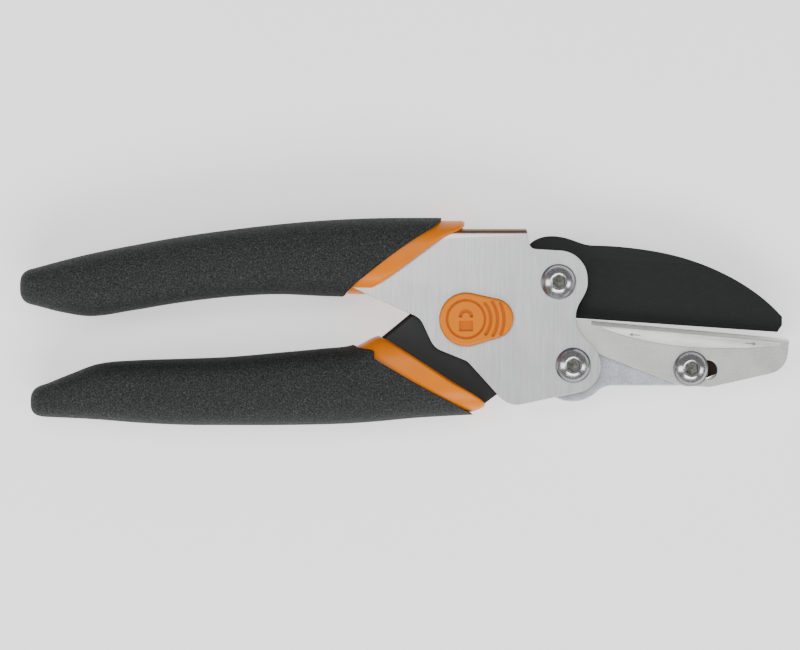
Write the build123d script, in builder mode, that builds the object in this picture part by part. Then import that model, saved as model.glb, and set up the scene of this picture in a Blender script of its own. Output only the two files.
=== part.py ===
from build123d import *
import os
from math import cos, radians, sin

# Anvil pruner with compound lever action, lying flat on its back.
# X runs from the grips to the jaw, Y across the grips, Z through the thickness.
# The origin is under the middle of the tool, on the surface that it lies on.

os.makedirs("parts", exist_ok=True)

# ---------------------------------------------------------------- driving dimensions, mm
THICKNESS = 22.0  # over the grips
MID = THICKNESS / 2  # height of the cutting plane
NOSE_X = -103.2  # end of the upper grip
TIP_X = 103.2  # end of the anvil
HALF_WIDTH = 27.9

BLADE_PIVOT = (41.2, 10.6)
HANDLE_PIVOT = (45.1, -11.7)
CLAMP = (76.8, -12.6)
DRIVE = (24.0, -4.0)  # drive pin, handles closed
HANDLE_SWING = 32.0
BLADE_RATIO = 0.62  # blade turn for each degree of handle turn
ANVIL_SLOPE = -5.2
EDGE_SLOPE = -3.97

# layers, each measured from the cutting plane to a face
BLADE_FACE = 1.4
ARM_FACE = 2.6
FORK_INNER = 2.0
LEVER_INNER = 2.7
LEVER_OUTER = 4.5
ANVIL_FACE = 5.0
CHANNEL_INNER = 5.5
CHANNEL_OUTER = 7.3

SHANK_R = 2.5
BUSH_R = 3.5
RUNNING_FIT = 0.05
HEAD_R = 4.75
HEAD_HEIGHT = 2.75
HEX_ACROSS = 3.0
NUT_ACROSS = 8.0
PIN_R = 2.0
GAP = 0.3


# ---------------------------------------------------------------- helpers
def level(z):
    """The plane parallel to the cutting plane, z above it."""
    return Plane.XY.offset(MID + z)


def save(part, name):
    part.label = name
    export_step(part, f"parts/{name}.step")


def turned(point, centre, angle):
    """A point turned about a centre by an angle in degrees."""
    dx, dy = point[0] - centre[0], point[1] - centre[1]
    c, s = cos(radians(angle)), sin(radians(angle))
    return (centre[0] + c * dx - s * dy, centre[1] + s * dx + c * dy)


def along(start, angle, distance):
    """The point at a distance from a start, in a direction in degrees."""
    return (start[0] + distance * cos(radians(angle)), start[1] + distance * sin(radians(angle)))


def rounded_outline(corners):
    """A closed outline from corners of x, y and rounding radius."""
    points = [(x, y) for x, y, r in corners]
    return FilletPolyline(*points, radius=[r for x, y, r in corners], close=True)


# ---------------------------------------------------------------- fasteners
def button_bolt(centre, seat, end):
    """Button head bolt with a hexagon socket, its head above the seat height."""
    with BuildPart() as bolt:
        with BuildSketch(Plane.XZ.offset(-centre[1])):
            with BuildLine():
                Line((centre[0], MID + end), (centre[0], MID + seat + HEAD_HEIGHT))
                Line((centre[0], MID + seat + HEAD_HEIGHT), (centre[0] + 2.2, MID + seat + HEAD_HEIGHT))
                ThreePointArc(
                    (centre[0] + 2.2, MID + seat + HEAD_HEIGHT),
                    (centre[0] + 3.9, MID + seat + 1.75),
                    (centre[0] + HEAD_R, MID + seat + 0.35),
                )
                Polyline(
                    (centre[0] + HEAD_R, MID + seat + 0.35),
                    (centre[0] + HEAD_R, MID + seat),
                    (centre[0] + SHANK_R, MID + seat),
                    (centre[0] + SHANK_R, MID + end + 0.5),
                    (centre[0] + SHANK_R - 0.5, MID + end),
                    (centre[0], MID + end),
                )
            make_face()
        revolve(axis=Axis((centre[0], centre[1], 0), (0, 0, 1)))
        with BuildSketch(level(seat + HEAD_HEIGHT)):
            with Locations(centre):
                RegularPolygon(HEX_ACROSS / 2, 6, major_radius=False, rotation=30)
        extrude(amount=-1.7, mode=Mode.SUBTRACT)
    return bolt.part


def lock_nut(centre, bottom, top):
    """Low prevailing-torque nut with chamfered corners."""
    with BuildPart() as nut:
        with BuildSketch(level(bottom)):
            with Locations(centre):
                RegularPolygon(NUT_ACROSS / 2, 6, major_radius=False)
                Circle(SHANK_R, mode=Mode.SUBTRACT)
        extrude(amount=top - bottom)
        with BuildSketch(level(bottom)):
            with Locations(centre):
                Circle(NUT_ACROSS / 2 + 0.1)
        extrude(amount=top - bottom, taper=-12, mode=Mode.INTERSECT)
    return nut.part


def ring(centre, inner, outer, bottom, top):
    with BuildPart() as piece:
        with BuildSketch(level(bottom)):
            with Locations(centre):
                Circle(outer)
                Circle(inner, mode=Mode.SUBTRACT)
        extrude(amount=top - bottom)
    return piece.part


def ring_pair(centre, inner, outer, near, far):
    """Two equal washers, one on each side of the cutting plane."""
    front = ring(centre, inner, outer, near, far)
    back = ring(centre, inner, outer, -far, -near)
    return Compound(children=[front, back])


NUT_BOTTOM = -MID
NUT_TOP = -CHANNEL_OUTER
for pivot, name in ((BLADE_PIVOT, "blade_pivot"), (HANDLE_PIVOT, "handle_pivot")):
    save(button_bolt(pivot, CHANNEL_OUTER, NUT_BOTTOM + GAP), name + "_bolt")
    save(lock_nut(pivot, NUT_BOTTOM, NUT_TOP), name + "_nut")
    save(ring(pivot, SHANK_R, BUSH_R, -CHANNEL_INNER, CHANNEL_INNER), name + "_bush")

save(ring_pair(BLADE_PIVOT, BUSH_R, 6.4, BLADE_FACE + RUNNING_FIT, FORK_INNER), "blade_washers")
save(ring_pair(HANDLE_PIVOT, BUSH_R, 5.3, LEVER_OUTER + RUNNING_FIT, CHANNEL_INNER), "handle_washers")

WASHER_BOTTOM = -ANVIL_FACE - 1.0
save(button_bolt(CLAMP, ANVIL_FACE + RUNNING_FIT, -ANVIL_FACE - 4.6), "anvil_clamp_bolt")
save(ring(CLAMP, SHANK_R, 5.0, WASHER_BOTTOM, -ANVIL_FACE - RUNNING_FIT), "anvil_clamp_washer")
save(lock_nut(CLAMP, WASHER_BOTTOM - 4.0, WASHER_BOTTOM), "anvil_clamp_nut")


# ---------------------------------------------------------------- upper channel
# One folded sheet: two side plates and a web along the top, with a tail in the grip.
SHEET = CHANNEL_OUTER - CHANNEL_INNER
WEB_TOP = 24.8
WEB_END_X = 32.7
SPRING_X = 15.0
BUTTON_LARGE = (16.5, 0.6)
BUTTON_SMALL = (23.9, 0.9)
BUTTON_TRAVEL = 3.0
POST_R = 1.4

side_plate = [
    (WEB_END_X, WEB_TOP, 0),
    (33.7, 19.4, 1.8),
    (49.0, 18.5, 7.6),
    (49.0, 8.7, 7.4),
    (43.9, -0.3, 7.6),
    (60.3, -16.0, 7.4),
    (28.0, -22.9, 6.0),
    (16.9, -10.6, 3.5),
    (8.0, -7.0, 5.0),
    (4.3, 0.9, 4.5),
    (-21.1, 12.4, 3.0),
    (-50.0, 12.6, 20.0),
    (-88.0, 7.6, 1.5),
    (-88.0, 12.2, 0),
    (-50.0, 20.8, 60.0),
    (-8.0, WEB_TOP, 60.0),
]
under_web = [
    (60.0, WEB_TOP - SHEET),
    (-8.0, WEB_TOP - SHEET),
    (-50.0, 20.8 - SHEET),
    (-90.0, 11.8 - SHEET),
    (-90.0, -30.0),
    (60.0, -30.0),
]
with BuildPart() as upper_channel:
    with BuildSketch(level(-CHANNEL_OUTER)):
        with BuildLine():
            rounded_outline(side_plate)
        make_face()
    extrude(amount=2 * CHANNEL_OUTER)
    fold = upper_channel.edges().filter_by(Axis.X).group_by(Axis.Y)[-1]
    fillet(fold, 1.7)
    with BuildSketch(level(-CHANNEL_INNER)):
        with BuildLine():
            Polyline(*under_web, close=True)
        make_face()
    extrude(amount=2 * CHANNEL_INNER, mode=Mode.SUBTRACT)
    with BuildSketch(level(-CHANNEL_OUTER)):
        with Locations(BLADE_PIVOT, HANDLE_PIVOT):
            Circle(SHANK_R)
    extrude(amount=2 * CHANNEL_OUTER, mode=Mode.SUBTRACT)
    with BuildSketch(level(CHANNEL_INNER)):
        for post in (BUTTON_LARGE, BUTTON_SMALL):
            with Locations((post[0] + BUTTON_TRAVEL / 2, post[1])):
                SlotCenterToCenter(BUTTON_TRAVEL, 2 * (POST_R + 0.2))
    extrude(amount=SHEET, mode=Mode.SUBTRACT)
    with BuildSketch(Plane.XZ.offset(-WEB_TOP)):
        with Locations((SPRING_X, MID)):
            Circle(1.5)
    extrude(amount=SHEET, mode=Mode.SUBTRACT)
save(upper_channel.part, "upper_channel")


# ---------------------------------------------------------------- anvil arm
# Cast arm: a fork that carries the blade, a boss for the handle and a tongue in the anvil.
ARM_BOSS_R = 9.8
FORK_R = 7.0
BLADE_DISC_R = 10.5
NECK_LEFT = 39.3
NECK_RIGHT = 44.2
NECK_FOOT = -5.7
LAND_LEFT = (45.8, 0.6)  # top of the anvil at its inner end
LAND_DEPTH = 3.2
ARM_LEFT = 36.2  # room for the blade's tail

tongue_top = (NECK_RIGHT, -4.0)
tongue_end = along(tongue_top, ANVIL_SLOPE, 43.0)
tongue = [
    (NECK_LEFT, -7.0, 0.5),
    (NECK_LEFT, 2.0, 0.3),
    (NECK_RIGHT, 2.0, 0.3),
    (*tongue_top, 0),
    (*tongue_end, 2.0),
    (87.5, -12.6, 2.0),
    (76.0, -17.2, 4.0),
    (54.5, -17.2, 6.0),
    (48.0, -20.5, 1.0),
]
with BuildPart() as anvil_arm:
    with BuildSketch(level(-ARM_FACE)):
        with BuildLine():
            rounded_outline(tongue)
        make_face()
        with Locations(HANDLE_PIVOT):
            Circle(ARM_BOSS_R)
        with Locations((ARM_LEFT - 10.0, HANDLE_PIVOT[1])):
            Rectangle(20.0, 30.0, mode=Mode.SUBTRACT)
        with BuildLine():
            Polyline(tongue_top, tongue_end, (90.0, 5.0), (NECK_RIGHT, 5.0), close=True)
        make_face(mode=Mode.SUBTRACT)
        with Locations(BLADE_PIVOT):
            Circle(BLADE_DISC_R + 0.4, mode=Mode.SUBTRACT)
    extrude(amount=2 * ARM_FACE)
    for bottom in (FORK_INNER, -CHANNEL_INNER):
        with BuildSketch(level(bottom)):
            with Locations(BLADE_PIVOT):
                Circle(FORK_R)
            with Locations(((NECK_LEFT + NECK_RIGHT) / 2, (BLADE_PIVOT[1] + NECK_FOOT) / 2)):
                Rectangle(NECK_RIGHT - NECK_LEFT, BLADE_PIVOT[1] - NECK_FOOT)
        extrude(amount=CHANNEL_INNER - FORK_INNER)
    with BuildSketch(level(-CHANNEL_INNER)):
        with Locations(BLADE_PIVOT, HANDLE_PIVOT):
            Circle(BUSH_R)
        with Locations(CLAMP):
            Circle(SHANK_R)
    extrude(amount=2 * CHANNEL_INNER, mode=Mode.SUBTRACT)
save(anvil_arm.part, "anvil_arm")

# ---------------------------------------------------------------- adjustable anvil
# Saddle casting: two cheeks beside the arm, joined by the land that the blade closes on.
SLOT_BACK = 2.1  # slot centre behind the bolt
SLOT_AHEAD = 4.45  # slot centre ahead of the bolt
SLOT_WIDTH = 5.3
BAND_START = 4.4  # the land's chamfered band starts this far along it
BAND = 1.15
SCOOP_DEPTH = 0.35

anvil_side = [
    (*LAND_LEFT, 0.3),
    (TIP_X, -4.65, 0.9),
    (TIP_X - 0.9, -13.0, 6.0),
    (82.0, -17.6, 8.0),
    (74.0, -17.1, 3.0),
    (52.1, -8.7, 0.8),
    (49.7, -6.1, 3.0),
    (45.8, -2.2, 1.0),
]
with BuildPart() as anvil:
    with BuildSketch(level(-ANVIL_FACE)):
        with BuildLine():
            rounded_outline(anvil_side)
        make_face()
    extrude(amount=2 * ANVIL_FACE)
    with BuildSketch(level(-LEVER_INNER)):
        with BuildLine():
            roof_left = along((LAND_LEFT[0] - 2.0, LAND_LEFT[1] - LAND_DEPTH), ANVIL_SLOPE, 0.0)
            roof_right = along(roof_left, ANVIL_SLOPE, 48.0)
            Polyline(
                roof_left,
                roof_right,
                (roof_right[0], -11.5),
                (88.0, -20.0),
                (40.0, -20.0),
                close=True,
            )
        make_face()
    extrude(amount=2 * LEVER_INNER, mode=Mode.SUBTRACT)
    slot_middle = along(CLAMP, ANVIL_SLOPE, (SLOT_AHEAD - SLOT_BACK) / 2)
    with BuildSketch(level(-ANVIL_FACE)):
        with Locations(Location(slot_middle, ANVIL_SLOPE)):
            SlotCenterToCenter(SLOT_AHEAD + SLOT_BACK, SLOT_WIDTH)
    extrude(amount=2 * ANVIL_FACE, mode=Mode.SUBTRACT)
    band_start = along(LAND_LEFT, ANVIL_SLOPE, BAND_START)
    along_land = Plane(
        origin=(*band_start, MID),
        x_dir=(-sin(radians(ANVIL_SLOPE)), cos(radians(ANVIL_SLOPE)), 0),
        z_dir=(cos(radians(ANVIL_SLOPE)), sin(radians(ANVIL_SLOPE)), 0),
    )
    outside = ANVIL_FACE + 0.5
    for side in (1, -1):
        with BuildSketch(along_land):
            with BuildLine():
                Polyline(
                    (-BAND - 0.5, side * outside),
                    (0.5, side * outside),
                    (0.5, side * (outside - BAND - 1.0)),
                    close=True,
                )
            make_face()
        extrude(amount=60.0, mode=Mode.SUBTRACT)
    with BuildSketch(level(ANVIL_FACE - SCOOP_DEPTH)) as scoop:
        with BuildLine():
            scoop_left = (52.2, -1.45)
            scoop_right = along(scoop_left, ANVIL_SLOPE, 48.6)
            scoop_end = (scoop_right[0], -6.5)
            Line(scoop_left, scoop_right)
            Line(scoop_right, scoop_end)
            Spline(scoop_end, (90.0, -7.2), (79.0, -7.1), (64.6, -5.3), scoop_left)
        make_face()
    extrude(amount=SCOOP_DEPTH, mode=Mode.SUBTRACT)
    extrude(
        scoop.sketch.moved(Location((0, 0, SCOOP_DEPTH - 2 * ANVIL_FACE))),
        amount=SCOOP_DEPTH,
        mode=Mode.SUBTRACT,
    )
save(anvil.part, "anvil")

# ---------------------------------------------------------------- blade
# Straight edge, curved spine, flat grind on both sides and a tail down to the drive pin.
HEEL = (46.4, 0.9)
EDGE_LENGTH = 54.2
EDGE_HALF = 0.12
GRIND_WIDTH = 16.5
GRIND_TOP = (50.0, 17.2)  # the plunge line runs down from here, leaning back
PLUNGE_LEAN = 17.0
BOSS_R = 4.5

edge_end = along(HEEL, EDGE_SLOPE, EDGE_LENGTH)
across_edge = Plane(
    origin=(*along(HEEL, EDGE_SLOPE, -6.0), MID),
    x_dir=(-sin(radians(EDGE_SLOPE)), cos(radians(EDGE_SLOPE)), 0),
    z_dir=(cos(radians(EDGE_SLOPE)), sin(radians(EDGE_SLOPE)), 0),
)
with BuildPart() as grind:
    for side in (1, -1):
        with BuildSketch(across_edge):
            with BuildLine():
                Polyline(
                    (-2.0, side * EDGE_HALF),
                    (0.0, side * EDGE_HALF),
                    (GRIND_WIDTH, side * BLADE_FACE),
                    (GRIND_WIDTH, side * 3.0),
                    (-2.0, side * 3.0),
                    close=True,
                )
            make_face()
        extrude(amount=66.0)
    lean = radians(PLUNGE_LEAN)
    split(bisect_by=Plane(origin=(*GRIND_TOP, MID), z_dir=(cos(lean), -sin(lean), 0)), keep=Keep.TOP)
with BuildPart() as blade:
    with BuildSketch(level(-BLADE_FACE)):
        with BuildLine():
            Line(HEEL, edge_end)
            Line(edge_end, (101.7, -1.0))
            Line((101.7, -1.0), (101.7, 1.3))
            Spline(
                (101.7, 1.3),
                (95.4, 7.1),
                (86.7, 12.5),
                (73.6, 17.5),
                (60.0, 19.9),
                (52.5, 20.4),
                (49.0, 20.65),
                (45.9, 21.65),
                (41.0, 22.9),
                (35.6, 22.1),
                (32.2, 18.0),
            )
            Line((32.2, 18.0), (31.0, 12.5))
            Line((31.0, 12.5), (40.0, 0.6))
            Line((40.0, 0.6), HEEL)
        make_face()
        with Locations(BLADE_PIVOT):
            Circle(BLADE_DISC_R)
        with BuildLine():
            Polyline(
                (31.2, 13.0),
                turned((DRIVE[0], DRIVE[1] + BOSS_R), DRIVE, 50),
                turned((DRIVE[0] + BOSS_R, DRIVE[1]), DRIVE, -50),
                (35.4, 1.4),
                close=True,
            )
        make_face()
        with Locations(DRIVE):
            Circle(BOSS_R)
        with Locations(BLADE_PIVOT):
            Circle(BUSH_R + RUNNING_FIT, mode=Mode.SUBTRACT)
        with Locations(DRIVE):
            Circle(PIN_R, mode=Mode.SUBTRACT)
    extrude(amount=2 * BLADE_FACE)
    add(grind.part, mode=Mode.SUBTRACT)
save(blade.part, "blade")

with BuildPart() as drive_pin:
    with BuildSketch(level(-LEVER_OUTER)):
        with Locations(DRIVE):
            Circle(PIN_R)
    extrude(amount=2 * LEVER_OUTER)
    chamfer(drive_pin.edges().filter_by(GeomType.CIRCLE), 0.4)
save(drive_pin.part, "drive_pin")

# ---------------------------------------------------------------- lower channel
# Black lever: two side plates, a fold along the inner edge, and a slot for the drive pin.
LOBE_R = 5.6
SLOT_CLEARANCE = 0.25


def pin_path(angle):
    """The drive pin's centre as the closed lever sees it when the lever has turned."""
    pin = turned(DRIVE, BLADE_PIVOT, BLADE_RATIO * angle)
    return turned(pin, HANDLE_PIVOT, -angle)


lever_side = [
    (4.2, 4.2, 2.0),
    (37.4, 4.2, 0),
    (38.7, -3.0, 2.5),
    (38.7, HANDLE_PIVOT[1] + LOBE_R, 0.5),
    (HANDLE_PIVOT[0], HANDLE_PIVOT[1] + LOBE_R, 0.3),
    (HANDLE_PIVOT[0], HANDLE_PIVOT[1] - LOBE_R, 0.3),
    (34.0, -19.0, 12.0),
    (24.9, -19.5, 1.0),
    (21.6, -22.0, 1.0),
    (8.0, -23.4, 20.0),
    (-50.0, -24.2, 60.0),
    (-88.0, -22.4, 1.5),
    (-88.0, -17.6, 0),
    (-50.0, -12.8, 60.0),
    (-12.5, -9.4, 8.0),
]
under_fold = [
    (9.0, 12.0),
    (9.0, 2.4),
    (4.9, 2.4),
    (-12.0, -11.3),
    (-50.0, -14.6),
    (-92.0, -20.0),
    (-92.0, -40.0),
    (60.0, -40.0),
    (60.0, 12.0),
]
with BuildPart() as lower_channel:
    with BuildSketch(level(-LEVER_OUTER)):
        with BuildLine():
            rounded_outline(lever_side)
        make_face()
        with Locations(HANDLE_PIVOT):
            Circle(LOBE_R)
    extrude(amount=2 * LEVER_OUTER)
    top_lines = lower_channel.edges().filter_by(Axis.X).group_by(Axis.Y)[-1]
    fillet(top_lines, 1.5)
    with BuildSketch(level(-LEVER_INNER)):
        with BuildLine():
            Polyline(*under_fold, close=True)
        make_face()
    extrude(amount=2 * LEVER_INNER, mode=Mode.SUBTRACT)
    with BuildSketch(level(-LEVER_OUTER)):
        with Locations(HANDLE_PIVOT):
            Circle(BUSH_R + RUNNING_FIT)
        path = ThreePointArc(pin_path(0), pin_path(HANDLE_SWING / 2), pin_path(HANDLE_SWING))
        SlotArc(path, 2 * (PIN_R + SLOT_CLEARANCE))
    extrude(amount=2 * LEVER_OUTER, mode=Mode.SUBTRACT)
save(lower_channel.part, "lower_channel")

# ---------------------------------------------------------------- return spring, seat and peg
COIL_R = 3.4
WIRE_R = 0.6
SEAT_TOP = 5.0
SEAT_WIDTH = 8.4
PEG_R = 2.5
COILS = 6

with BuildPart() as spring_seat:
    with BuildSketch(Plane.XZ.offset(-SEAT_TOP)):
        with Locations((SPRING_X, MID)):
            RectangleRounded(SEAT_WIDTH, 2 * LEVER_OUTER, 1.0)
    extrude(amount=0.7)
    with BuildSketch(Plane.XZ.offset(-SEAT_TOP)):
        with Locations((SPRING_X, MID)):
            Rectangle(SEAT_WIDTH, 2 * LEVER_INNER)
    extrude(amount=4.0)
    with BuildSketch(Plane.XZ.offset(-SEAT_TOP)):
        with Locations((SPRING_X, MID)):
            Circle(PEG_R)
    extrude(amount=-1.5)
save(spring_seat.part, "spring_seat")

with BuildPart() as spring_peg:
    with BuildSketch(Plane.XZ.offset(-WEB_TOP)):
        with Locations((SPRING_X, MID)):
            Circle(1.5)
    extrude(amount=SHEET + 0.1)
    with BuildSketch(Plane.XZ.offset(SHEET - WEB_TOP)):
        with Locations((SPRING_X, MID)):
            Circle(PEG_R)
    extrude(amount=1.5)
save(spring_peg.part, "spring_peg")

spring_foot = SEAT_TOP + WIRE_R
spring_height = WEB_TOP - SHEET - SEAT_TOP - 2 * WIRE_R
with BuildPart() as return_spring:
    with BuildLine():
        coil = Helix(
            pitch=spring_height / COILS,
            height=spring_height,
            radius=COIL_R,
            center=(SPRING_X, spring_foot, MID),
            direction=(0, 1, 0),
        )
    with BuildSketch(Plane(origin=coil @ 0, z_dir=coil % 0)):
        Circle(WIRE_R)
    sweep(is_frenet=True)
save(return_spring.part, "return_spring")

# ---------------------------------------------------------------- lock
# Sliding button on the front plate; its posts pass through slots to a steel slider.
BUTTON_LARGE_R = 7.2
BUTTON_SMALL_R = 5.3
BUTTON_BASE = CHANNEL_OUTER + 0.1
BUTTON_TOP = CHANNEL_OUTER + 2.1
DISC_R = 4.7
MOAT = 0.7
GROOVE = 0.9
RELIEF = 0.5
SLIDER_BACK = LEVER_OUTER + 0.15
SLIDER_FRONT = CHANNEL_INNER - 0.15

with BuildPart() as lock_button:
    with BuildSketch(level(BUTTON_BASE)):
        with Locations(BUTTON_LARGE):
            Circle(BUTTON_LARGE_R)
        with Locations(BUTTON_SMALL):
            Circle(BUTTON_SMALL_R)
        make_hull()
    extrude(amount=BUTTON_TOP - BUTTON_BASE)
    fillet(lock_button.faces().sort_by(Axis.Z)[-1].edges(), 0.9)
    with BuildSketch(level(BUTTON_TOP - RELIEF)):
        with Locations(BUTTON_LARGE):
            Circle(DISC_R + MOAT)
            Circle(DISC_R, mode=Mode.SUBTRACT)
    extrude(amount=RELIEF + 0.1, mode=Mode.SUBTRACT)
    with BuildSketch(level(BUTTON_TOP - RELIEF)):
        with Locations((BUTTON_LARGE[0], BUTTON_LARGE[1] + 0.7)):
            Circle(1.95)
            Circle(1.0, mode=Mode.SUBTRACT)
        with Locations((BUTTON_LARGE[0], BUTTON_LARGE[1] - 0.75)):
            Rectangle(6.0, 2.4, mode=Mode.SUBTRACT)
        with Locations((BUTTON_LARGE[0], BUTTON_LARGE[1] - 1.85)):
            RectangleRounded(3.7, 2.8, 0.2)
    extrude(amount=RELIEF + 0.1, mode=Mode.SUBTRACT)
    for ridge_r, spread in ((6.6, 38), (8.4, 32), (10.1, 24)):
        with BuildSketch(level(BUTTON_TOP - RELIEF)):
            SlotArc(CenterArc(BUTTON_LARGE, ridge_r, 1 - spread, 2 * spread), GROOVE)
        extrude(amount=RELIEF + 0.1, mode=Mode.SUBTRACT)
    with BuildSketch(level(SLIDER_BACK)):
        with Locations(BUTTON_LARGE, BUTTON_SMALL):
            Circle(POST_R)
    extrude(amount=BUTTON_BASE - SLIDER_BACK)
save(lock_button.part, "lock_button")

slider_side = [
    (6.3, -1.2),
    (26.4, -1.2),
    (26.4, 2.9),
    (8.6, 2.9),
    (8.6, 6.6),
    (2.8, 6.6),
    (2.8, 4.7),
    (6.3, 4.7),
]
with BuildPart() as lock_slider:
    with BuildSketch(level(SLIDER_BACK)):
        with BuildLine():
            Polyline(*slider_side, close=True)
        make_face()
        with Locations(BUTTON_LARGE, BUTTON_SMALL):
            Circle(POST_R, mode=Mode.SUBTRACT)
    extrude(amount=SLIDER_FRONT - SLIDER_BACK)
    with BuildSketch(level(SLIDER_BACK)):
        with Locations((4.1, 5.65)):
            Rectangle(2.6, 1.9)
    extrude(amount=-1.9)
save(lock_slider.part, "lock_slider")

# ---------------------------------------------------------------- grips
# Each grip is a hard core moulded on the channel's tail, with a soft sleeve over it.
# A section is x, lower edge, upper edge and half thickness.
SLEEVE = 2.2
COLLAR_STEP = 0.8
CORNER_SHARE = 0.3  # corner radius of a section, of its smaller side

upper_sections = [
    (NOSE_X, 8.8, 11.8, 3.0),
    (-101.9, 5.9, 13.6, 6.8),
    (-98.8, 4.1, 14.5, 8.8),
    (-92.2, 2.4, 16.2, 10.0),
    (-84.0, 1.4, 18.3, 10.7),
    (-72.9, 3.1, 20.5, MID),
    (-60.0, 5.2, 22.8, MID),
    (-40.7, 7.1, 25.3, MID),
    (-15.0, 6.6, 27.5, MID),
    (2.0, 6.4, HALF_WIDTH, MID),
    (18.0, 6.4, HALF_WIDTH, MID),
]
lower_sections = [
    (-100.4, -22.6, -19.4, 3.0),
    (-99.1, -24.7, -17.7, 6.8),
    (-96.0, -25.8, -16.6, 8.8),
    (-89.0, -26.1, -13.9, 10.0),
    (-81.5, -26.5, -11.2, 10.7),
    (-70.0, -27.4, -10.2, MID),
    (-53.6, -HALF_WIDTH, -9.8, MID),
    (-34.3, -HALF_WIDTH, -8.4, MID),
    (-15.0, -27.5, -6.6, MID),
    (-4.0, -26.7, -2.8, MID),
    (22.0, -24.4, -2.8, MID),
]
upper_black_edge = [(-22.0, 3.4), (-16.9, 7.4), (-3.8, 17.5), (9.4, 26.2), (10.6, 30.0)]
upper_orange_edge = [(-17.0, 2.1), (-11.3, 6.3), (10.7, 22.6), (16.3, 24.9), (16.3, 30.0)]
lower_black_edge = [(-20.0, -4.6), (-15.5, -6.8), (2.7, -16.5), (17.4, -24.5), (24.0, -28.2)]
lower_orange_edge = [(-12.0, -0.3), (-6.7, -3.6), (20.9, -21.8), (15.0, -28.0)]


def grip_form(sections, inset):
    """Smooth solid through rounded sections, drawn in by the inset all round."""
    with BuildPart() as form:
        for x, low, high, half in sections:
            corner = CORNER_SHARE * min(high - low, 2 * half) - inset / 2
            with BuildSketch(Plane.YZ.offset(x)):
                with Locations(((low + high) / 2, MID)):
                    RectangleRounded(high - low - 2 * inset, 2 * (half - inset), corner)
        loft()
    return form.part


def behind(edge, shift, half):
    """Everything on the grip's side of a slanted edge, moved along X by the shift."""
    moved = [(x + shift, y) for x, y in edge]
    low_end, high_end = (moved[0], moved[-1])
    with BuildPart() as block:
        with BuildSketch(level(-half)):
            with BuildLine():
                Polyline(*moved, (-120.0, high_end[1]), (-120.0, low_end[1]), close=True)
            make_face()
        extrude(amount=2 * half)
    return block.part


def grip(name, sections, black_edge, orange_edge, channel, inner_half):
    """Core with its slanted collar, and the sleeve that ends against the collar."""
    inner_sections = [(x, low, high, half) for x, low, high, half in sections[2:]]
    collar = grip_form(sections[-4:], COLLAR_STEP) & behind(orange_edge, 0, MID)
    collar -= behind(black_edge, -3.0, MID)
    core = grip_form(inner_sections, SLEEVE) & behind(black_edge, 0, MID)
    core += collar
    core -= channel
    opening = behind(orange_edge, 4.0, inner_half) - behind(orange_edge, -7.0, inner_half)
    core -= opening
    sleeve = grip_form(sections, 0.0) & behind(black_edge, 0, MID)
    sleeve -= grip_form(inner_sections, SLEEVE)
    sleeve -= collar
    sleeve -= channel
    save(core, name + "_core")
    save(sleeve, name + "_sleeve")


grip("upper_grip", upper_sections, upper_black_edge, upper_orange_edge, upper_channel.part, CHANNEL_INNER)
grip("lower_grip", lower_sections, lower_black_edge, lower_orange_edge, lower_channel.part, LEVER_INNER)
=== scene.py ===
import bpy
import bmesh
from math import cos, sin, pi, radians, sqrt
from mathutils import Matrix, Vector


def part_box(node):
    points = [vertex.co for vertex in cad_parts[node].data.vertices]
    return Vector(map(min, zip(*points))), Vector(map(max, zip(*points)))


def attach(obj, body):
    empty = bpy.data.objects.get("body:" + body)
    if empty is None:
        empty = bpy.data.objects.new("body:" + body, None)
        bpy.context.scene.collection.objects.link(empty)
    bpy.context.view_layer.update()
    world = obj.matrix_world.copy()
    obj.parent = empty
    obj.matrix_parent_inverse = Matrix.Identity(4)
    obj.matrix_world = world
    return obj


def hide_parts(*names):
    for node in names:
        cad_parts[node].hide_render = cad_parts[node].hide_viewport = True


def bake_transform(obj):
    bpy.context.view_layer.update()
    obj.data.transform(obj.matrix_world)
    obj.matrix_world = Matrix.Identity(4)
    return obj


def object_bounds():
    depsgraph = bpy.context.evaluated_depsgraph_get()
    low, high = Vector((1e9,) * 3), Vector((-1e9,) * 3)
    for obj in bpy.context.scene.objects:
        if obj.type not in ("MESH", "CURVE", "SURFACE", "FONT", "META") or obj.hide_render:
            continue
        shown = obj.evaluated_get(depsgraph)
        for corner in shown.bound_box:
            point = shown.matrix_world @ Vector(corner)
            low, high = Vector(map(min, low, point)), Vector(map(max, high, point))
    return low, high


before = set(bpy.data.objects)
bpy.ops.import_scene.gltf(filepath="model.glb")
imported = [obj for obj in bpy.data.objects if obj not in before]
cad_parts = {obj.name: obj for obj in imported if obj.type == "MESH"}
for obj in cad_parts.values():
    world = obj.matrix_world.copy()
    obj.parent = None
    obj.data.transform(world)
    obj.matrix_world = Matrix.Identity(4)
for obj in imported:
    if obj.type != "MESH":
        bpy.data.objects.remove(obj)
cad_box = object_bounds()
MM = 0.001
MIDDLE = (cad_box[0][2] + cad_box[1][2]) / 2 / MM  # height of the cutting plane, mm

# ---------------------------------------------------------------- table, light and camera
# The pruner lies on a plain white table under soft studio boxes, seen from straight above.
VIEW_CENTRE = (-1.1, -0.95)  # mm
VIEW_WIDTH = 213.9  # mm across the picture at the height of the side plate
VIEW_HEIGHT = 900.0
PLATE_HEIGHT = 17.0
SENSOR = 36.0


def look_at(thing, target):
    """Turns a lamp or camera to face a point."""
    direction = Vector(target) - thing.location
    thing.rotation_euler = direction.to_track_quat("-Z", "Y").to_euler()


def softbox(name, place, size, power, target=(0.01, 0.0, 0.01)):
    lamp = bpy.data.lights.new(name, "AREA")
    lamp.shape = "RECTANGLE"
    lamp.size, lamp.size_y = size
    lamp.energy = power
    holder = bpy.data.objects.new(name, lamp)
    bpy.context.collection.objects.link(holder)
    holder.location = place
    look_at(holder, target)
    return holder


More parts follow.
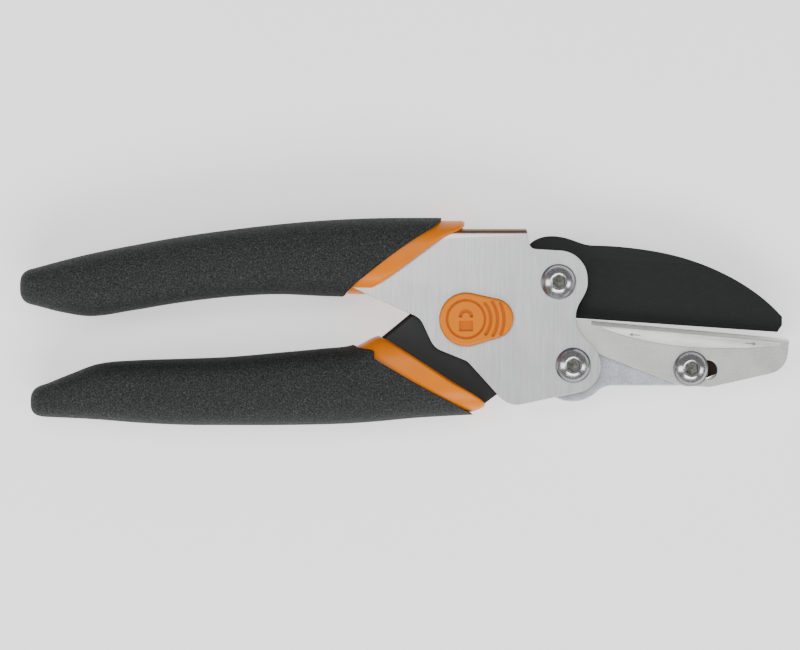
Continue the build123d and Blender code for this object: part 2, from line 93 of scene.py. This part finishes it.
softbox("top_box", (-0.10, 0.22, 0.95), (0.75, 0.30), 3.2)
softbox("left_box", (-0.70, -0.05, 0.50), (0.4, 0.5), 2.6)
softbox("right_box", (0.7, -0.15, 0.50), (0.35, 0.5), 2.4)
softbox("low_box", (0.0, -0.65, 0.60), (0.9, 0.35), 6.0)

world = bpy.data.worlds.new("studio")
bpy.context.scene.world = world
world.use_nodes = True
world.node_tree.nodes["Background"].inputs["Color"].default_value = (1.0, 1.0, 1.0, 1.0)
world.node_tree.nodes["Background"].inputs["Strength"].default_value = 0.27

camera_data = bpy.data.cameras.new("camera")
camera_data.sensor_width = SENSOR
camera_data.lens = SENSOR * (VIEW_HEIGHT - PLATE_HEIGHT) / VIEW_WIDTH
camera_data.clip_start = 0.01
camera_data.clip_end = 20.0
camera = bpy.data.objects.new("camera", camera_data)
bpy.context.collection.objects.link(camera)
camera.location = (VIEW_CENTRE[0] * MM, VIEW_CENTRE[1] * MM, VIEW_HEIGHT * MM)
bpy.context.scene.camera = camera


class Shade:
    """A shader value. Sums, products and powers of these add Math nodes to its tree."""

    def __init__(self, tree, socket=None):
        self.tree = tree
        self.socket = socket

    def node(self, kind, settings=(), sockets=(), out=0):
        """Any other node: its settings are set first, then its sockets' values or links."""
        made = self.tree.nodes.new(kind)
        for key, value in dict(settings).items():
            if key == "stops":
                ramp = made.color_ramp
                while len(ramp.elements) < len(value):
                    ramp.elements.new(1.0)
                for element, (place, colour) in zip(ramp.elements, value):
                    element.position = place
                    element.color = (*colour, 1.0)
            else:
                setattr(made, key, value)
        for key, value in dict(sockets).items():
            if isinstance(value, Shade):
                self.tree.links.new(value.socket, made.inputs[key])
            elif isinstance(value, tuple) and len(value) == 3 and made.inputs[key].type == "RGBA":
                made.inputs[key].default_value = (*value, 1.0)
            else:
                made.inputs[key].default_value = value
        return Shade(self.tree, made.outputs[out])

    def math(self, operation, first, second):
        return self.node("ShaderNodeMath", {"operation": operation}, {0: first, 1: second})

    def __add__(self, other):
        return self.math("ADD", self, other)

    def __sub__(self, other):
        return self.math("SUBTRACT", self, other)

    def __rsub__(self, other):
        return self.math("SUBTRACT", other, self)

    def __mul__(self, other):
        return self.math("MULTIPLY", self, other)

    __radd__ = __add__
    __rmul__ = __mul__

    def between(self, low, high):
        """0 below low, 1 above high, smooth between."""
        return self.node(
            "ShaderNodeMapRange",
            {"interpolation_type": "SMOOTHSTEP"},
            {"Value": self, "From Min": low, "From Max": high},
        )

    def blend(self, first, second):
        """A colour from first, where this value is 0, to second, where it is 1."""
        mix = self.tree.nodes.new("ShaderNodeMix")
        mix.data_type = "RGBA"
        self.tree.links.new(self.socket, mix.inputs["Factor"])
        for place, colour in ((6, first), (7, second)):
            if isinstance(colour, Shade):
                self.tree.links.new(colour.socket, mix.inputs[place])
            else:
                mix.inputs[place].default_value = (*colour, 1.0)
        return Shade(self.tree, mix.outputs[2])


def new_material(name):
    """An empty material and the object coordinates in its tree, in mm."""
    made = bpy.data.materials.new(name)
    made.use_nodes = True
    made.node_tree.nodes.clear()
    tree = Shade(made.node_tree)
    place = tree.node("ShaderNodeTexCoord", out=3)
    scaled = tree.node("ShaderNodeVectorMath", {"operation": "SCALE"}, {0: place, "Scale": 1 / MM})
    return made, scaled


def stretched(place, x, y, z):
    """Coordinates scaled by a factor along each axis."""
    return place.node("ShaderNodeVectorMath", {"operation": "MULTIPLY"}, {0: place, 1: (x, y, z)})


def noise(place, scale, detail=3.0, roughness=0.5):
    sockets = {"Vector": place, "Scale": scale, "Detail": detail, "Roughness": roughness}
    return place.node("ShaderNodeTexNoise", {"noise_dimensions": "3D"}, sockets)


def bumped(height, depth, strength=1.0, normal=None):
    """A normal from a height of 0 to 1 that stands for a depth in mm."""
    sockets = {"Height": height, "Distance": depth * MM, "Strength": strength}
    if normal:
        sockets["Normal"] = normal
    return height.node("ShaderNodeBump", {}, sockets)


def surface(made, place, colour, roughness, metallic=0.0, normal=None, **constants):
    """Joins a finish to the material's output. The constants go on the shader itself."""
    sockets = {"Base Color": colour, "Roughness": roughness, "Metallic": metallic}
    if normal:
        sockets["Normal"] = normal
    for key, value in constants.items():
        sockets[key.replace("_", " ").title().replace("Ior", "IOR")] = value
    shader = place.node("ShaderNodeBsdfPrincipled", {}, sockets)
    output = made.node_tree.nodes.new("ShaderNodeOutputMaterial")
    made.node_tree.links.new(shader.socket, output.inputs["Surface"])
    return made


def finished(bm, name, material, smooth_angle=35.0):
    """A piece from a bmesh, shaded smooth apart from its sharp edges."""
    mesh = bpy.data.meshes.new(name)
    bm.to_mesh(mesh)
    bm.free()
    mesh.shade_smooth()
    mesh.set_sharp_from_angle(angle=radians(smooth_angle))
    piece = bpy.data.objects.new(name, mesh)
    bpy.context.collection.objects.link(piece)
    mesh.materials.append(material)
    return piece


table_material, table_place = new_material("white_table")
table_tone = noise(table_place, 0.01, 2.0).blend((0.93, 0.93, 0.93), (0.95, 0.95, 0.95))
surface(table_material, table_place, table_tone, 0.9, emission_color=table_tone, emission_strength=0.75)
TABLE_DROP = 0.03 * MM  # keeps the table's face off the faces that lie on it
table = bmesh.new()
bmesh.ops.create_grid(table, x_segments=1, y_segments=1, size=3.0)
bmesh.ops.translate(table, verts=table.verts, vec=(0, 0, -TABLE_DROP))
finished(table, "table", table_material)


def from_cad(node, name, bevel, material, body, segments=2, smooth_angle=35.0):
    """A finished copy of a CAD piece: merged, its flats joined up, and its edges broken."""
    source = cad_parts[node]
    bm = bmesh.new()
    bm.from_mesh(source.data)
    bm.transform(source.matrix_world)
    bmesh.ops.remove_doubles(bm, verts=bm.verts, dist=0.002 * MM)
    bmesh.ops.dissolve_limit(
        bm, angle_limit=radians(0.6), verts=bm.verts, edges=bm.edges, use_dissolve_boundaries=False
    )
    piece = finished(bm, name, material, smooth_angle)
    if bevel:
        edge_break = piece.modifiers.new("edge_break", "BEVEL")
        edge_break.width = bevel * MM
        edge_break.segments = segments
        edge_break.limit_method = "ANGLE"
        edge_break.angle_limit = radians(38)
        edge_break.harden_normals = True
        edge_break.use_clamp_overlap = True
    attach(piece, body)
    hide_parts(node)
    return piece


# ---------------------------------------------------------------- upper channel
# Folded stainless sheet: two side plates joined along the top, with a tail in the grip.
# It is brushed up and down, and the bent part of the fold is painted dark brown as a painted dark
# reflection.
SHEET_COLOUR = (0.74, 0.745, 0.76)
SHEET_SHADE = (0.61, 0.615, 0.63)
FOLD_REFLECTION_BROWN = (0.25, 0.175, 0.13)
FOLD_START = 22.9  # the painted reflection on the fold begins at this y, mm
BEND_START = 5.0  # and this far from the middle

sheet_metal, place = new_material("brushed_sheet")
brushing = noise(stretched(place, 2.6, 0.10, 2.6), 1.0, 4.0, 0.7)
clouding = noise(stretched(place, 0.10, 0.06, 0.10), 1.0, 2.0)
grain = noise(place, 5.0, 2.0)
tone = (brushing * 0.75 + clouding * 0.25).between(0.32, 0.68).blend(SHEET_SHADE, SHEET_COLOUR)
plate_y = place.node("ShaderNodeSeparateXYZ", {}, {0: place}, 1)
plate_z = place.node("ShaderNodeSeparateXYZ", {}, {0: place}, 2)
off_middle = (plate_z - MIDDLE) * (plate_z - MIDDLE)
on_bend = off_middle.between(BEND_START**2, (BEND_START + 1.2) ** 2)
# Painted reflection: the bent part of the fold, from FOLD_START up, is painted dark brown.
bend = plate_y.between(FOLD_START, FOLD_START + 0.9) * on_bend
tone = bend.blend(tone, FOLD_REFLECTION_BROWN)
rough = brushing * 0.20 + clouding * 0.08 + 0.24
relief = bumped(brushing * 0.7 + grain * 0.3, 0.02)
surface(sheet_metal, place, tone, rough, 1.0, relief)
from_cad("upper_channel", "upper_side_plates", 0.28, sheet_metal, "upper_handle", 3)

# ---------------------------------------------------------------- anvil arm
# Light alloy casting: fork, boss and tongue. Blasted, so it is blue grey and finely speckled.
SLOT_CENTRE = (79.5, -13.0)  # the tongue is painted dark behind the anvil's slot, as painted shade in the slot's depth
SLOT_PAINTED_SHADE = (0.030, 0.018, 0.014)

cast_metal, place = new_material("blasted_casting")
speckle = noise(place, 2.6, 3.0, 0.7)
mottle = noise(place, 0.35, 3.0)
tone = (speckle * 0.7 + mottle * 0.3).between(0.35, 0.65).blend((0.40, 0.43, 0.48), (0.60, 0.63, 0.68))
to_slot = {0: place, 1: (*SLOT_CENTRE, MIDDLE)}
slot_reach = place.node("ShaderNodeVectorMath", {"operation": "DISTANCE"}, to_slot, 1)
# Painted shade: the tongue darkens within reach of the anvil's slot.
tone = slot_reach.between(5.6, 7.0).blend(SLOT_PAINTED_SHADE, tone)
rough = speckle * 0.2 + 0.42
surface(cast_metal, place, tone, rough, 0.75, bumped(speckle, 0.03))
from_cad("anvil_arm", "cast_arm", 0.35, cast_metal, "upper_handle", 3)

# ---------------------------------------------------------------- blade
# Hardened steel, flat ground on both sides and coated matte black to shed sap.
blade_coat, place = new_material("black_blade_coat")
grain = noise(stretched(place, 0.5, 6.0, 6.0), 1.0, 3.0)
fine = noise(place, 6.0, 2.0)
tone = grain.between(0.3, 0.7).blend((0.0045, 0.0058, 0.0050), (0.0085, 0.0105, 0.0095))
surface(blade_coat, place, tone, grain * 0.14 + 0.40, 0.0, bumped(fine, 0.006), specular_ior_level=0.30)
blade = from_cad("blade", "ground_blade", 0.35, blade_coat, "blade", 2, 3.5)
SPINE_START_X = 47.0  # only the spine's edges are broken, and they lie above this line, mm
SPINE_FALL_X = 95.0
SPINE_LOW = 3.0
blade.modifiers["edge_break"].limit_method = "WEIGHT"
edge_weight = blade.data.attributes.new("bevel_weight_edge", "FLOAT", "EDGE")
for edge in blade.data.edges:
    ends = [blade.data.vertices[i].co / MM for i in edge.vertices]
    flat = abs(ends[0].z - ends[1].z) < 0.02
    line = [SPINE_LOW + max(0.0, SPINE_FALL_X - end.x) * 0.22 for end in ends]
    high = all(end.y > low and end.x > SPINE_START_X for end, low in zip(ends, line))
    edge_weight.data[edge.index].value = 1.0 if flat and high else 0.0

# ---------------------------------------------------------------- adjustable anvil
# Saddle casting that straddles the arm, tumbled to a warm satin, with the land on top.
anvil_metal, place = new_material("satin_casting")
grain = noise(place, 1.8, 4.0, 0.65)
cloud = noise(place, 0.12, 2.0)
tone = (grain * 0.5 + cloud * 0.5).between(0.35, 0.65).blend((0.66, 0.655, 0.635), (0.80, 0.795, 0.775))
surface(anvil_metal, place, tone, grain * 0.16 + 0.30, 0.9, bumped(grain, 0.02))
from_cad("anvil", "sliding_anvil", 0.18, anvil_metal, "anvil", 2)

# ---------------------------------------------------------------- anvil arrows
# Two plain arrows printed on the anvil's side face, one each way: it slides along its
# slot when the clamp bolt is slack.
SCOOP_FACE = MIDDLE + 4.65
ARROW_LENGTH = 2.9
ARROW_SLOPE = radians(-5.2)
PRINT_THICKNESS = 0.04

arrow_ink, place = new_material("arrow_ink")
wear = noise(place, 3.0, 2.0)
tone = wear.between(0.35, 0.65).blend((0.16, 0.16, 0.155), (0.30, 0.30, 0.29))
surface(arrow_ink, place, tone, wear * 0.2 + 0.5)

bm = bmesh.new()
for tip, way in (((60.3, -3.45), -1), ((94.3, -6.05), 1)):
    head = bmesh.ops.create_circle(bm, cap_ends=True, radius=0.62, segments=3)["verts"]
    bmesh.ops.rotate(bm, verts=head, cent=(0, 0, 0), matrix=Matrix.Rotation(radians(-90) * way, 3, "Z"))
    bmesh.ops.translate(bm, verts=head, vec=(-0.62 * way, 0, 0))
    shaft = bmesh.ops.create_grid(bm, x_segments=1, y_segments=1, size=0.5)["verts"]
    bmesh.ops.scale(bm, verts=shaft, vec=(ARROW_LENGTH - 0.9, 0.26, 1))
    bmesh.ops.translate(bm, verts=shaft, vec=(-(ARROW_LENGTH + 0.9) / 2 * way, 0, 0))
    both = list(set(head) | set(shaft))
    bmesh.ops.rotate(bm, verts=both, cent=(0, 0, 0), matrix=Matrix.Rotation(ARROW_SLOPE, 3, "Z"))
    bmesh.ops.translate(bm, verts=both, vec=(*tip, SCOOP_FACE + 0.005))
bmesh.ops.recalc_face_normals(bm, faces=bm.faces)
bmesh.ops.solidify(bm, geom=list(bm.faces), thickness=-PRINT_THICKNESS)
bmesh.ops.recalc_face_normals(bm, faces=bm.faces)
bmesh.ops.scale(bm, verts=bm.verts, vec=(MM, MM, MM))
arrows = finished(bm, "anvil_arrows", arrow_ink)
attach(arrows, "anvil")

# ---------------------------------------------------------------- lower channel
# The black-coated lever: side plates with a fold on the inner edge, working between
# the upper side plates. The drive pin slides in its slots.
lever_coat, place = new_material("black_lever_coat")
grain = noise(place, 4.0, 3.0)
tone = grain.between(0.3, 0.7).blend((0.006, 0.007, 0.007), (0.012, 0.0135, 0.013))
surface(lever_coat, place, tone, grain * 0.15 + 0.38, 0.0, bumped(grain, 0.012), specular_ior_level=0.35)
from_cad("lower_channel", "lever_plates", 0.25, lever_coat, "lower_handle", 2)

# ---------------------------------------------------------------- hidden small parts
# Ground bushes and drive pin, bronze washers, plated nuts, the lock's steel slider,
# the spring's peg in the upper channel and its moulded seat on the lever.
plated, place = new_material("plated_steel")
grain = noise(place, 3.0, 3.0)
tone = grain.between(0.3, 0.7).blend((0.50, 0.51, 0.54), (0.60, 0.61, 0.63))
surface(plated, place, tone, grain * 0.15 + 0.22, 1.0, bumped(grain, 0.008))

bronze, place = new_material("bronze")
grain = noise(place, 4.0, 2.0)
tone = grain.between(0.3, 0.7).blend((0.50, 0.34, 0.16), (0.62, 0.44, 0.22))
surface(bronze, place, tone, grain * 0.15 + 0.3, 1.0, bumped(grain, 0.008))

seat_plastic, place = new_material("black_moulding")
grain = noise(place, 3.0, 3.0)
tone = grain.between(0.3, 0.7).blend((0.018, 0.018, 0.018), (0.028, 0.028, 0.028))
surface(seat_plastic, place, tone, grain * 0.15 + 0.5, 0.0, bumped(grain, 0.015))

for node, material, body, finish in (
    ("blade_pivot_nut", plated, "upper_handle", "zinc_steel"),
    ("handle_pivot_nut", plated, "upper_handle", "zinc_steel"),
    ("anvil_clamp_nut", plated, "upper_handle", "zinc_steel"),
    ("anvil_clamp_washer", plated, "upper_handle", "zinc_steel"),
    ("spring_peg", plated, "upper_handle", "zinc_steel"),
    ("lock_slider", plated, "lock", "zinc_steel"),
    ("blade_pivot_bush", plated, "upper_handle", "hard_pin"),
    ("handle_pivot_bush", plated, "upper_handle", "hard_pin"),
    ("drive_pin", plated, "blade", "hard_pin"),
    ("blade_washers", bronze, "upper_handle", "bronze_washer"),
    ("handle_washers", bronze, "upper_handle", "bronze_washer"),
    ("spring_seat", seat_plastic, "lower_handle", "black_plastic"),
):
    from_cad(node, node + "_finished", 0.1, material, body)

# ---------------------------------------------------------------- pivot and clamp bolts
# Button heads turned and nickelled, each with a hexagon socket in a small dished ring.
HEAD_RADIUS = 4.75
HEAD_HEIGHT = 2.75
SHANK_RADIUS = 2.5
LAND_RADIUS = 2.35
DOME_RADIUS = 5.54
HEAD_DOME = sqrt(DOME_RADIUS**2 - LAND_RADIUS**2) + 0.04  # the dome's centre is this far below the top
SOCKET_HALF = 1.5
ROUND = 96


def stack(rings, name, material, segments=ROUND, close_start=True, close_end=True, smooth_angle=35.0):
    """A skin through rings. Each ring is a function that gives a point for a turn of 0 to 2 pi."""
    bm = bmesh.new()
    turn = bm.verts.layers.float.new("turn")
    bmesh.ops.create_circle(bm, cap_ends=False, radius=1.0, segments=segments)
    bm.verts.ensure_lookup_table()
    for vert in bm.verts:
        vert[turn] = Vector((vert.co.x, vert.co.y)).angle_signed(Vector((1, 0)), 0.0) % (2 * pi)
    ring_verts = list(bm.verts)
    ring_edges = list(bm.edges)
    start_edges = ring_edges
    for number, ring in enumerate(rings):
        if number:
            grown = bmesh.ops.extrude_edge_only(bm, edges=ring_edges)["geom"]
            ring_verts = [g for g in grown if isinstance(g, bmesh.types.BMVert)]
            ring_edges = [g for g in grown if isinstance(g, bmesh.types.BMEdge)]
            ring_edges = [e for e in ring_edges if all(v in set(ring_verts) for v in e.verts)]
        for vert in ring_verts:
            vert.co = Vector(ring(vert[turn])) * MM
    if close_start:
        bmesh.ops.edgeloop_fill(bm, edges=start_edges)
    if close_end:
        bmesh.ops.edgeloop_fill(bm, edges=ring_edges)
    bmesh.ops.recalc_face_normals(bm, faces=bm.faces)
    return finished(bm, name, material, smooth_angle)


def circle_ring(centre, radius, height):
    return lambda turn: (centre[0] + radius * cos(turn), centre[1] + radius * sin(turn), height)


def hex_ring(centre, half, height):
    """A ring that follows a hexagon with that half width across its flats."""

    def place(turn):
        radius = half / cos((turn + pi / 6) % (pi / 3) - pi / 6)
        return (centre[0] + radius * cos(turn), centre[1] + radius * sin(turn), height)

    return place


nickel, place = new_material("bright_nickel")
scuff = noise(place, 1.4, 4.0, 0.6)
tone = scuff.between(0.3, 0.7).blend((0.42, 0.42, 0.43), (0.54, 0.54, 0.55))
reach = place.node("ShaderNodeAttribute", {"attribute_name": "reach"}, {}, 2)
# Painted shade: the head darkens towards its outer rim, for the contact shadow and dark reflection there.
tone = reach.between(0.78, 0.97).blend(tone, (0.17, 0.17, 0.18))
surface(nickel, place, tone, scuff * 0.10 + 0.17, 1.0, bumped(scuff, 0.002))

# Painted shade: the hexagon socket's walls and floor get a dark steel, for the shade down the hole.
socket_shade_steel, place = new_material("socket_painted_shade")
socket_grain = noise(place, 2.0, 3.0)
tone = socket_grain.between(0.3, 0.7).blend((0.10, 0.105, 0.09), (0.20, 0.205, 0.18))
surface(socket_shade_steel, place, tone, socket_grain * 0.2 + 0.35, 0.8, bumped(socket_grain, 0.01))

for node in ("blade_pivot_bolt", "handle_pivot_bolt", "anvil_clamp_bolt"):
    low, high = (corner / MM for corner in (Vector(c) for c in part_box(node)))
    centre = ((low.x + high.x) / 2, (low.y + high.y) / 2)
    top = high.z
    seat = top - HEAD_HEIGHT
    rings = [circle_ring(centre, 2.0, low.z), circle_ring(centre, SHANK_RADIUS, low.z + 0.5)]
    rings += [circle_ring(centre, SHANK_RADIUS, seat), circle_ring(centre, HEAD_RADIUS - 0.15, seat)]
    rings += [circle_ring(centre, HEAD_RADIUS, seat + 0.15), circle_ring(centre, HEAD_RADIUS, seat + 0.3)]
    for step in range(1, 15):
        radius = HEAD_RADIUS + (LAND_RADIUS - HEAD_RADIUS) * step / 15
        rings.append(circle_ring(centre, radius, top - HEAD_DOME + sqrt(DOME_RADIUS**2 - radius**2)))
    rings += [circle_ring(centre, LAND_RADIUS, top - 0.04), circle_ring(centre, LAND_RADIUS - 0.1, top)]
    rings += [hex_ring(centre, SOCKET_HALF + 0.12, top), hex_ring(centre, SOCKET_HALF, top - 0.15)]
    rings += [hex_ring(centre, SOCKET_HALF, top - 1.6), circle_ring(centre, 0.1, top - 2.0)]
    bolt = stack(rings, node + "_turned", nickel)
    bolt_reach = bolt.data.attributes.new("reach", "FLOAT", "POINT")
    for vert in bolt.data.vertices:
        off_axis = vert.co / MM - Vector((*centre, vert.co.z / MM))
        bolt_reach.data[vert.index].value = off_axis.length / HEAD_RADIUS
    bolt.data.materials.append(socket_shade_steel)
    # The socket's faces take the painted shade material.
    for face in bolt.data.polygons:
        reach = (face.center / MM - Vector((*centre, face.center.z / MM))).length
        if reach < SOCKET_HALF * 1.2 and top - 2.2 < face.center.z / MM < top - 0.1:
            face.material_index = 1
    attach(bolt, "upper_handle")
    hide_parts(node)


# ---------------------------------------------------------------- return spring
# Compression spring of drawn wire between the peg in the channel and the seat on the
# lever. Its end turns are closed up.
COIL_TURNS = 7.0
WIRE_RADIUS = 0.6

wire, place = new_material("drawn_wire")
streak = noise(place, 2.5, 3.0)
tone = streak.between(0.3, 0.7).blend((0.36, 0.36, 0.37), (0.50, 0.50, 0.51))
surface(wire, place, tone, streak * 0.15 + 0.25, 1.0, bumped(streak, 0.006))

spring_low, spring_high = (Vector(c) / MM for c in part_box("return_spring"))
spring_x = (spring_low.x + spring_high.x) / 2
coil_radius = (spring_high.x - spring_low.x) / 2 - WIRE_RADIUS


def coil_height(share):
    """Height along the spring for a share of its length of wire; its ends are closed turns."""
    closed = 2 * WIRE_RADIUS / (spring_high.y - spring_low.y - 2 * WIRE_RADIUS) * COIL_TURNS
    eased = share + (closed - 1) * 0.159 * sin(2 * pi * share) * 0.9
    return spring_low.y + WIRE_RADIUS + (spring_high.y - spring_low.y - 2 * WIRE_RADIUS) * eased


def wire_ring(share):
    angle = 2 * pi * COIL_TURNS * share
    height = coil_height(share)

    def place(turn):
        radius = coil_radius + WIRE_RADIUS * cos(turn)
        across = (radius * cos(angle), radius * sin(angle))
        return (spring_x + across[0], height + WIRE_RADIUS * sin(turn), MIDDLE + across[1])

    return place


COIL_STEPS = 252
spring = stack([wire_ring(k / COIL_STEPS) for k in range(COIL_STEPS + 1)], "coil_spring", wire, 12)
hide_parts("return_spring")
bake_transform(spring)

# ---------------------------------------------------------------- lock button
# Glossy orange moulding that slides on the side plate, with a raised padlock disc and
# three finger ridges. Its lower faces are painted a deeper orange as painted shade.
PAINTED_SHADE_ORANGE = (0.60, 0.135, 0.0)
BRIGHT_ORANGE = (0.76, 0.20, 0.0)

orange, place = new_material("orange_moulding")
flow = noise(place, 0.14, 2.0)
fine = noise(place, 2.5, 3.0)
tone = flow.between(0.3, 0.7).blend((0.72, 0.18, 0.0), (0.78, 0.205, 0.0))
surface(orange, place, tone, fine * 0.12 + 0.28, 0.0, bumped(fine, 0.012), specular_ior_level=0.22)
button_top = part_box("lock_button")[1][2] / MM
button_orange, place = new_material("orange_button")
fine = noise(place, 2.5, 3.0)
button_height = place.node("ShaderNodeSeparateXYZ", {}, {0: place}, 2)
# Painted shade: faces below the button's top, in its recesses and round its rim, turn deeper orange.
raised = (button_height + fine * 0.12).between(button_top - 0.42, button_top - 0.05)
tone = raised.blend(PAINTED_SHADE_ORANGE, BRIGHT_ORANGE)
surface(button_orange, place, tone, fine * 0.12 + 0.28, 0.0, bumped(fine, 0.012), specular_ior_level=0.22)
from_cad("lock_button", "padlock_button", 0.12, button_orange, "lock", 2)

# ---------------------------------------------------------------- grips
# Each handle has a hard orange core moulded on the channel's tail and a soft black sleeve
# over it. The core shows as a slanted collar with a rolled front edge.
SQUARENESS = 2.7  # 2 is an oval section, larger is squarer
LIP = 1.3  # rolled edge of a collar
COLLAR_INSET = 0.8  # the collar lies this far below the sleeve's skin
STATIONS = 60
AROUND = 72

# x, lower edge, upper edge and half thickness, mm
upper_shape = [
    (-99.2, 4.3, 14.4, 8.6),
    (-92.2, 2.5, 16.3, 9.9),
    (-84.0, 1.4, 18.3, 10.6),
    (-72.9, 3.0, 20.5, 10.9),
    (-60.0, 5.1, 22.8, 11.0),
    (-47.2, 6.6, 24.6, 11.0),
    (-34.3, 7.3, 26.1, 11.0),
    (-21.4, 6.8, 27.2, 11.0),
    (-8.0, 6.4, 27.8, 11.0),
    (4.0, 6.2, 27.9, 11.0),
    (18.0, 6.0, 27.9, 11.0),
]
lower_shape = [
    (-96.2, -25.7, -16.7, 8.6),
    (-89.0, -26.0, -13.8, 9.9),
    (-82.0, -26.4, -11.3, 10.6),
    (-72.0, -27.2, -10.4, 10.9),
    (-60.0, -27.8, -10.0, 11.0),
    (-47.2, -27.9, -9.5, 11.0),
    (-34.3, -27.9, -8.4, 11.0),
    (-21.4, -27.7, -7.2, 11.0),
    (-14.0, -27.4, -6.3, 11.0),
    (-7.0, -26.9, -3.0, 11.0),
    (4.0, -25.9, -2.2, 11.0),
    (22.0, -24.9, -2.2, 11.0),
]
# y of a point on a collar's edge, then its x
upper_black = [(3.4, -22.0), (7.4, -16.9), (12.5, -10.4), (17.6, -3.9)]
upper_black += [(22.0, 2.4), (26.2, 8.6), (30.0, 10.9)]
upper_front = [(2.1, -17.0), (6.3, -11.3), (22.6, 10.7), (24.6, 15.2), (26.6, 16.5), (30.0, 16.8)]
lower_black = [(-30.0, 27.0), (-24.5, 17.4), (-16.5, 2.7), (-10.9, -7.0), (-6.8, -15.5), (-3.0, -22.0)]
lower_front = [(-30.0, 13.7), (-25.0, 18.5), (-21.9, 21.6)]
lower_front += [(-15.7, 12.0), (-9.5, 2.7), (-3.6, -6.5), (0.0, -12.0)]


def smooth_at(table, at):
    """Smooth curve through the rows of a table: the other columns for a value of the first."""
    if at <= table[0][0]:
        return table[0][1:]
    if at >= table[-1][0]:
        return table[-1][1:]
    last = len(table) - 1
    index = max(i for i in range(last) if table[i][0] <= at)
    before, start, end, after = (table[min(max(i, 0), last)] for i in range(index - 1, index + 3))
    share = (at - start[0]) / (end[0] - start[0])
    values = []
    for a, b, c, d in zip(before[1:], start[1:], end[1:], after[1:]):
        left = (c - a) * (end[0] - start[0]) / (end[0] - before[0])
        right = (d - b) * (end[0] - start[0]) / (after[0] - start[0])
        rise = c - b
        curve = 3 * rise - 2 * left - right + share * (left + right - 2 * rise)
        values.append(b + share * (left + share * curve))
    return values


def grip_point(shape, turn, x, inset):
    """A point on a grip's section at x, drawn in by the inset."""
    low, high, half = smooth_at(shape, x)
    across = abs(cos(turn)) ** (2 / SQUARENESS) * (1 if cos(turn) > 0 else -1)
    up = abs(sin(turn)) ** (2 / SQUARENESS) * (1 if sin(turn) > 0 else -1)
    y = (low + high) / 2 + ((high - low) / 2 - inset) * across
    return (x, y, MIDDLE + (half - inset) * up)


def slanted_ring(shape, x, edge, slant, inset=0.0, shift=0.0):
    """A ring that leans over with a collar's edge, by a slant of 0 to 1."""

    def place(turn):
        at = x
        for attempt in range(6):
            y = grip_point(shape, turn, at, inset)[1]
            at = x + (smooth_at(edge, y)[0] + shift - x) * slant
        return grip_point(shape, turn, at, inset)

    return place


def nose_ring(shape, nose_x, lean):
    """A ring of the rounded end, from the first section at 0 to nearly a point at 1."""
    start_x = shape[0][0]
    tilt = (shape[1][1] + shape[1][2] - shape[0][1] - shape[0][2]) / 2 / (shape[1][0] - start_x)
    size = (1 - 0.16 * lean) * (1 - lean**3.2) ** (1 / 3.2)

    def place(turn):
        x, y, z = grip_point(shape, turn, start_x, 0.0)
        middle = (shape[0][1] + shape[0][2]) / 2
        at = start_x - (start_x - nose_x) * lean
        return (at, middle + (y - middle) * size + tilt * 0.5 * (at - start_x), MIDDLE + (z - MIDDLE) * size)

    return place


rubber, place = new_material("pebbled_rubber")
cells = {"Vector": place, "Scale": 1.25, "Smoothness": 0.6}
pebble = place.node("ShaderNodeTexVoronoi", {"feature": "SMOOTH_F1"}, cells)
pores = noise(place, 2.6, 3.0, 0.75)
glint = noise(place, 2.4, 2.0, 0.85).between(0.54, 0.74)
height = (1.0 - pebble) * 0.4 + pores * 0.8
tone = (pores * 1.0 + glint * 0.3).between(0.30, 0.95).blend((0.003, 0.0035, 0.0035), (0.080, 0.084, 0.084))
surface(rubber, place, tone, 0.80 - glint * 0.2, 0.0, bumped(height, 0.2, 1.0), specular_ior_level=0.3)


def make_grip(prefix, shape, nose_x, black_edge, front_edge, body):
    """The sleeve up to the black edge, and the core's collar from there to its front edge."""
    start_x = shape[0][0]
    rings = [nose_ring(shape, nose_x, sin(pi / 2 * (1 - k / 12) * 0.985)) for k in range(12)]
    end_x = smooth_at(black_edge, (shape[8][1] + shape[8][2]) / 2)[0]
    for k in range(STATIONS + 1):
        share = k / STATIONS
        x = start_x + (end_x - start_x) * share
        slant = max(0.0, (share - 0.5) / 0.5) ** 1.5
        rings.append(slanted_ring(shape, x, black_edge, slant))
    for inset, shift in ((0.06, 0.16), (0.25, 0.33), (0.5, 0.42), (0.9, 0.45), (2.2, 0.45)):
        rings.append(slanted_ring(shape, end_x, black_edge, 1.0, inset, shift))
    sleeve = stack(rings, prefix + "_sleeve_soft", rubber, AROUND, smooth_angle=50)
    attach(sleeve, body)
    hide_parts(prefix + "_sleeve")

    rings = [slanted_ring(shape, end_x, black_edge, 1.0, 2.6, -2.0)]
    rings.append(slanted_ring(shape, end_x, black_edge, 1.0, COLLAR_INSET, -1.5))
    for k in range(1, 10):
        share = k / 10
        mixed = [(y, x + (smooth_at(front_edge, y)[0] - LIP - x) * share) for y, x in black_edge]
        rings.append(slanted_ring(shape, end_x, mixed, 1.0, COLLAR_INSET))
    for k in range(9):
        roll = radians(90) * k / 8
        inset = COLLAR_INSET + LIP * (1 - cos(roll))
        rings.append(slanted_ring(shape, end_x, front_edge, 1.0, inset, -LIP * (1 - sin(roll))))
    rings.append(slanted_ring(shape, end_x, front_edge, 1.0, 4.5, 0.0))
    core = stack(rings, prefix + "_collar", orange, AROUND, smooth_angle=50)
    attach(core, body)
    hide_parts(prefix + "_core")


make_grip("upper_grip", upper_shape, -103.15, upper_black, upper_front, "upper_handle")
make_grip("lower_grip", lower_shape, -100.3, lower_black, lower_front, "lower_handle")
